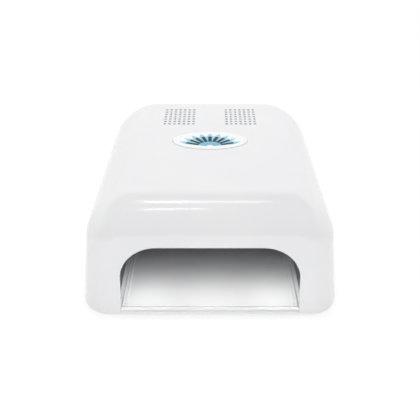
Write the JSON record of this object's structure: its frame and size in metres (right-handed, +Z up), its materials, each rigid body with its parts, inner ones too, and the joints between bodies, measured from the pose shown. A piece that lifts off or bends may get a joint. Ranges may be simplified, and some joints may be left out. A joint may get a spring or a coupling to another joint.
{
  "type": "led nail lamp",
  "caption": "White tabletop nail curing lamp: arched hand opening over a pull-out tray, LED-lined reflector, vented roof with oval badge plate, rear switch panel.",
  "frame": {"origin": "on the table under the middle of the footprint, feet included", "axes": "+Z up, +Y towards the back with the switch panel, the hand opening faces -Y, +X to the right seen from the front"},
  "size_m": [0.225, 0.2699, 0.0996],
  "materials": {
    "housing": "gloss",
    "badge": "gloss",
    "base": "fine texture",
    "tray": "satin",
    "rubber": "matt",
    "steel": "zinc plated",
    "reflector": "bright rolled",
    "led_board": "white solder mask",
    "circuit_board": "green solder mask",
    "component_black": "moulded",
    "panel": "satin grey",
    "switch": "satin",
    "rocker": "gloss",
    "button": "gloss",
    "heat_sink": "extruded",
    "copper": "enamelled copper winding",
    "relay": "gloss",
    "socket": "natural nylon",
    "can": "sleeved",
    "wire_red": "insulated wire",
    "wire_black": "insulated wire",
    "wire_grey": "insulated wire"
  },
  "bodies": {
    "lamp_body": {"badge_plate": "badge", "base_plate": "base", "choke": "copper", "control_board": "circuit_board", "control_board_screw_1": "steel", "control_board_screw_2": "steel", "control_panel": "panel", "dc_inlet": "component_black", "dc_inlet_nut": "steel", "dc_inlet_pin": "steel", "driver_board": "circuit_board", "driver_screw_1": "steel", "driver_screw_2": "steel", "driver_screw_3": "steel", "driver_screw_4": "steel", "driver_transistor": "component_black", "foot_front_left": "rubber", "foot_front_right": "rubber", "foot_rear_left": "rubber", "foot_rear_right": "rubber", "heat_sink": "heat_sink", "housing_screw_1": "steel", "housing_screw_2": "steel", "housing_screw_3": "steel", "housing_screw_4": "steel", "lead_back_board": "wire_black", "lead_inlet_to_switch": "wire_red", "lead_left_board": "wire_black", "lead_panel_to_driver": "wire_grey", "lead_right_board": "wire_black", "lead_switch_to_driver": "wire_red", "lead_top_board": "wire_black", "led_board_back": "led_board", "led_board_left": "led_board", "led_board_right": "led_board", "led_board_top": "led_board", "led_socket": "socket", "main_capacitor": "can", "panel_screw_1": "steel", "panel_screw_2": "steel", "panel_socket": "socket", "power_switch_body": "switch", "reflector_back": "reflector", "reflector_dome": "reflector", "reflector_screw_1": "steel", "reflector_screw_2": "steel", "reflector_screw_3": "steel", "reflector_screw_4": "steel", "relay": "relay", "tact_switch_hold": "component_black", "tact_switch_long": "component_black", "tact_switch_short": "component_black", "timer_chip": "component_black", "top_housing": "housing"},
    "tray": {"tray": "tray"},
    "power_rocker": {"power_rocker": "rocker"},
    "timer_button_short": {"timer_button_short": "button"},
    "timer_button_long": {"timer_button_long": "button"},
    "timer_button_hold": {"timer_button_hold": "button"}
  },
  "joints": [
    {"name": "tray_slide", "type": "slide", "parent": "lamp_body", "child": "tray", "axis": [0, -1, 0], "range_m": [0, 0.19]},
    {"name": "power_rocker_pivot", "type": "hinge", "parent": "lamp_body", "child": "power_rocker", "pos_m": [0.046, 0.13012, 0.05], "axis": [1, 0, 0], "range_deg": [-20, 0]},
    {"name": "timer_button_short_press", "type": "slide", "parent": "lamp_body", "child": "timer_button_short", "axis": [0, -1, 0], "range_m": [0, 0.0012], "stiffness_N_per_m": 800, "springref_m": -0.0005},
    {"name": "timer_button_long_press", "type": "slide", "parent": "lamp_body", "child": "timer_button_long", "axis": [0, -1, 0], "range_m": [0, 0.0012], "stiffness_N_per_m": 800, "springref_m": -0.0005},
    {"name": "timer_button_hold_press", "type": "slide", "parent": "lamp_body", "child": "timer_button_hold", "axis": [0, -1, 0], "range_m": [0, 0.0012], "stiffness_N_per_m": 800, "springref_m": -0.0005}
  ]
}
